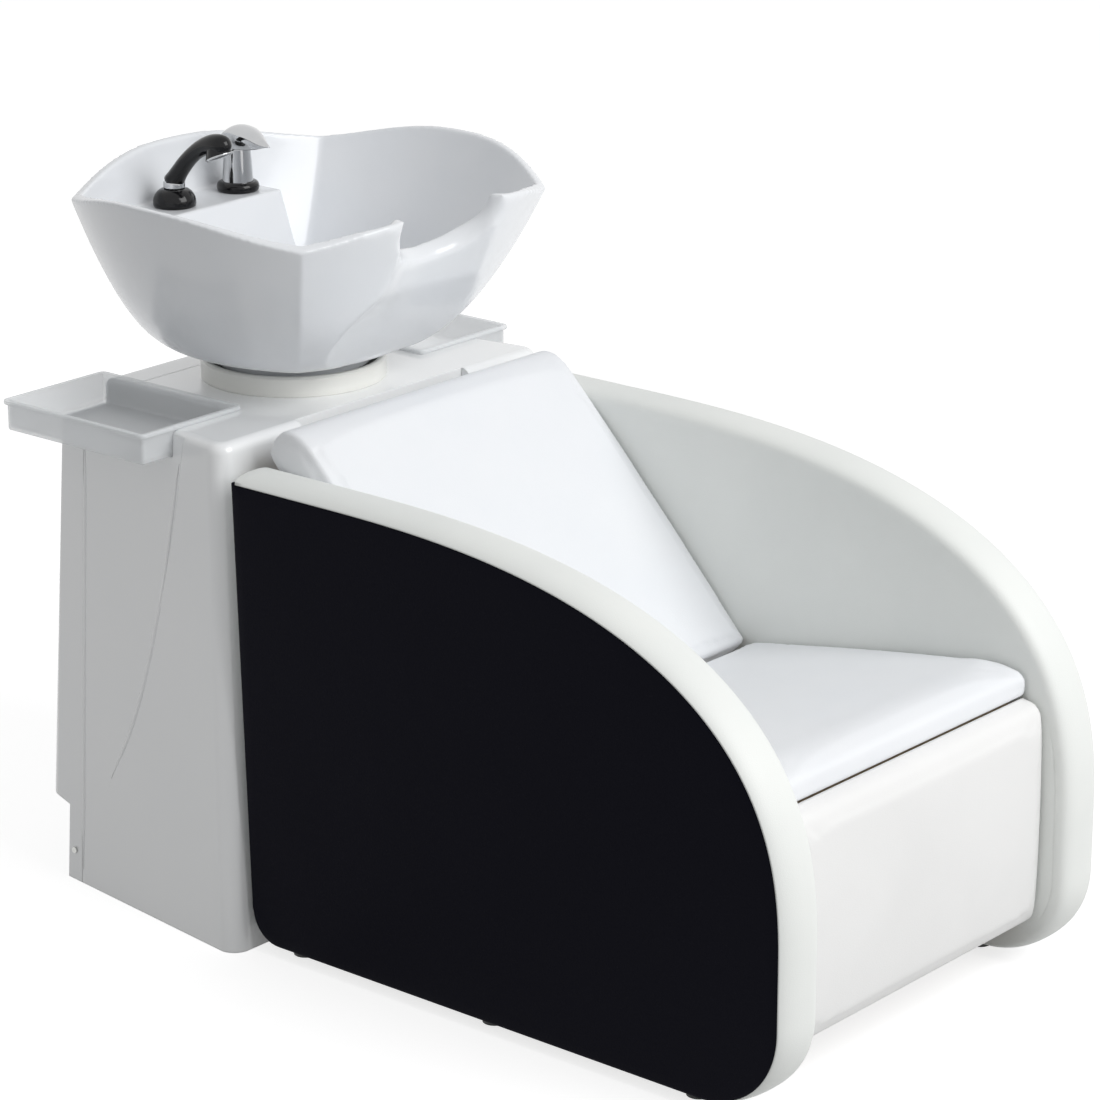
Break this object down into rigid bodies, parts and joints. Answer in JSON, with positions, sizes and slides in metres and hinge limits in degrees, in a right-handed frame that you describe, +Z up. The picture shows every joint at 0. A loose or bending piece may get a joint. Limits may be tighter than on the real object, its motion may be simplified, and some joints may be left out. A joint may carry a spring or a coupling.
{
  "type": "backwash unit",
  "caption": "Salon backwash unit: reclined upholstered wash chair with rounded sides, joined to a plinth cabinet with a tilting ceramic basin, lever mixer, hand shower and drop-in trays.",
  "frame": {"origin": "on the floor, in the middle of the four floor anchor holes, straight below the basin's round foot", "axes": "+Z up, the sitter faces -Y, +X to the sitter's left"},
  "size_m": [0.7404, 1.3375, 1.0153],
  "materials": {
    "white_vinyl": "white upholstery vinyl with a fine grain, satin",
    "black_vinyl": "black upholstery vinyl, matte",
    "seat_vinyl": "white upholstery vinyl, satin",
    "apron_vinyl": "warm white upholstery vinyl, satin",
    "plywood": "plywood, raw",
    "timber": "planed softwood",
    "zinc_steel": "zinc plated",
    "black_plastic": "moulded, fine texture",
    "cabinet_gloss": "white moulded shell, high gloss",
    "collar_ivory": "ivory moulding, satin gloss",
    "tray_frosted": "frosted clear plastic",
    "frame_steel": "black powder coat",
    "nylon": "natural nylon",
    "bronze": "sintered bronze",
    "ceramic_white": "white glaze",
    "seal_rubber": "moulded rubber",
    "chrome": "polished chrome plate",
    "brass": "raw brass",
    "waste_plastic": "white waste fittings",
    "black_gloss": "black, high gloss"
  },
  "bodies": {
    "chair_and_plinth": {"left_arm_pad": "white_vinyl", "right_arm_pad": "white_vinyl", "left_arm_panel": "black_vinyl", "right_arm_panel": "black_vinyl", "left_arm_board": "plywood", "right_arm_board": "plywood", "seat_cushion": "seat_vinyl", "back_cushion": "seat_vinyl", "front_apron": "apron_vinyl", "seat_board": "plywood", "back_board": "plywood", "apron_board": "plywood", "front_rail": "timber", "rear_rail": "timber", "back_rail": "timber", "tie_rail": "timber", "rail_bolts": "zinc_steel", "arm_glides": "black_plastic", "cabinet_shell": "cabinet_gloss", "rear_cover": "cabinet_gloss", "cover_screws": "zinc_steel", "basin_collar": "collar_ivory", "left_floor_rail": "frame_steel", "right_floor_rail": "frame_steel", "pedestal_posts": "frame_steel", "pedestal_plate": "frame_steel", "tilt_hangers": "frame_steel", "tilt_pins": "zinc_steel", "pin_clips": "zinc_steel", "friction_washers": "nylon"},
    "basin_unit": {"basin": "ceramic_white", "basin_gasket": "seal_rubber", "basin_carrier": "frame_steel", "tilt_bushes": "bronze", "waste_flange": "chrome", "waste_nut": "waste_plastic", "bottle_trap": "waste_plastic", "trap_nut": "waste_plastic", "mixer_ring": "black_gloss", "mixer_body": "chrome", "mixer_nut": "brass", "shower_dock": "black_gloss", "dock_nut": "brass"},
    "mixer_turret": {"cartridge_rotor": "nylon", "lever_pin": "zinc_steel"},
    "lever": {"cartridge_stem": "nylon", "mixer_lever": "chrome"},
    "handset": {"shower_band": "chrome", "shower_handle": "black_gloss", "spray_ring": "chrome", "spray_plate": "black_plastic"},
    "strainer": {"hair_strainer": "chrome"},
    "left_tray": {"left_tray": "tray_frosted"},
    "right_tray": {"right_tray": "tray_frosted"}
  },
  "joints": [
    {"name": "basin_tilt", "type": "hinge", "parent": "chair_and_plinth", "child": "basin_unit", "pos_m": [0, 0, 0.657], "axis": [1, 0, 0], "range_deg": [-4, 4]},
    {"name": "mixer_turn", "type": "hinge", "parent": "basin_unit", "child": "mixer_turret", "pos_m": [0.062, 0.16, 0.961], "axis": [0, 0, 1], "range_deg": [-45, 45]},
    {"name": "lever_lift", "type": "hinge", "parent": "mixer_turret", "child": "lever", "pos_m": [0.062, 0.16, 0.961], "axis": [-1, 0, 0], "range_deg": [0, 22]},
    {"name": "handset_lift", "type": "slide", "parent": "basin_unit", "child": "handset", "axis": [0, 0, 1], "range_m": [0, 0.12]},
    {"name": "strainer_lift", "type": "slide", "parent": "basin_unit", "child": "strainer", "axis": [0, 0, 1], "range_m": [0, 0.06]},
    {"name": "left_tray_lift", "type": "slide", "parent": "chair_and_plinth", "child": "left_tray", "axis": [0.8944, 0, 0.4472], "range_m": [0, 0.2]},
    {"name": "right_tray_lift", "type": "slide", "parent": "chair_and_plinth", "child": "right_tray", "axis": [-0.8944, 0, 0.4472], "range_m": [0, 0.2]}
  ]
}
